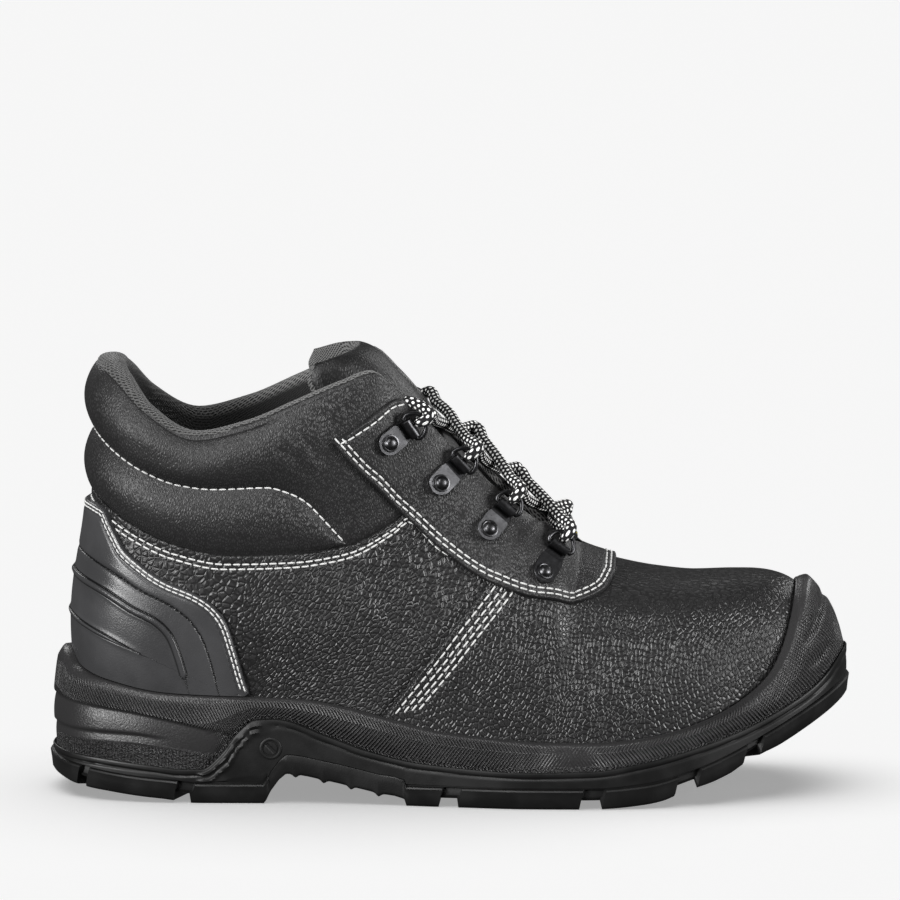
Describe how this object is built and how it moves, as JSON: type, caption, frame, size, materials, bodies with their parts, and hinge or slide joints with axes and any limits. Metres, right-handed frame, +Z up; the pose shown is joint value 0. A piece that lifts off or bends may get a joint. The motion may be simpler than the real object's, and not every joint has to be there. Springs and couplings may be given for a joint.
{
  "type": "safety ankle boot",
  "caption": "Right-foot lace-up safety ankle boot with padded collar, lugged sole, heel counter, toe bumper and D-ring lacing.",
  "frame": {"origin": "middle of the boot's length and breadth, on the floor under the sole", "axes": "+X towards the toe, +Y towards the inner (medial) side, +Z up"},
  "size_m": [0.302, 0.104, 0.1702],
  "materials": {
    "black_rubber": "matte moulded rubber",
    "black_polyurethane": "satin moulded foam with a knurled side",
    "black_leather": "pebbled leather with a soft sheen",
    "black_smooth_leather": "fine-grain leather with a soft sheen",
    "counter_plastic": "satin moulded cap",
    "insole_felt": "dull woven cover",
    "black_nickel": "glossy black metal",
    "lace_cord": "round woven cord with light flecks",
    "tag_tape": "folded tape with a plain yellow stripe"
  },
  "bodies": {
    "root": {"outsole": "black_rubber", "midsole": "black_polyurethane", "insole": "insole_felt", "upper": "black_leather", "heel_counter": "counter_plastic", "eyestay": "black_smooth_leather", "tongue": "black_smooth_leather", "lace_clip_lateral_1": "black_nickel", "lace_clip_lateral_2": "black_nickel", "lace_clip_lateral_3": "black_nickel", "lace_clip_lateral_4": "black_nickel", "lace_clip_medial_1": "black_nickel", "lace_clip_medial_2": "black_nickel", "lace_clip_medial_3": "black_nickel", "lace_clip_medial_4": "black_nickel", "rivet_lateral_1": "black_nickel", "rivet_lateral_2": "black_nickel", "rivet_lateral_3": "black_nickel", "rivet_lateral_4": "black_nickel", "rivet_medial_1": "black_nickel", "rivet_medial_2": "black_nickel", "rivet_medial_3": "black_nickel", "rivet_medial_4": "black_nickel", "d_ring_lateral_1": "black_nickel", "d_ring_lateral_2": "black_nickel", "d_ring_lateral_3": "black_nickel", "d_ring_lateral_4": "black_nickel", "d_ring_medial_1": "black_nickel", "d_ring_medial_2": "black_nickel", "d_ring_medial_3": "black_nickel", "d_ring_medial_4": "black_nickel", "lace_crossing_1": "lace_cord", "lace_crossing_2": "lace_cord", "lace_crossing_3": "lace_cord", "lace_tag": "tag_tape"}
  },
  "joints": []
}
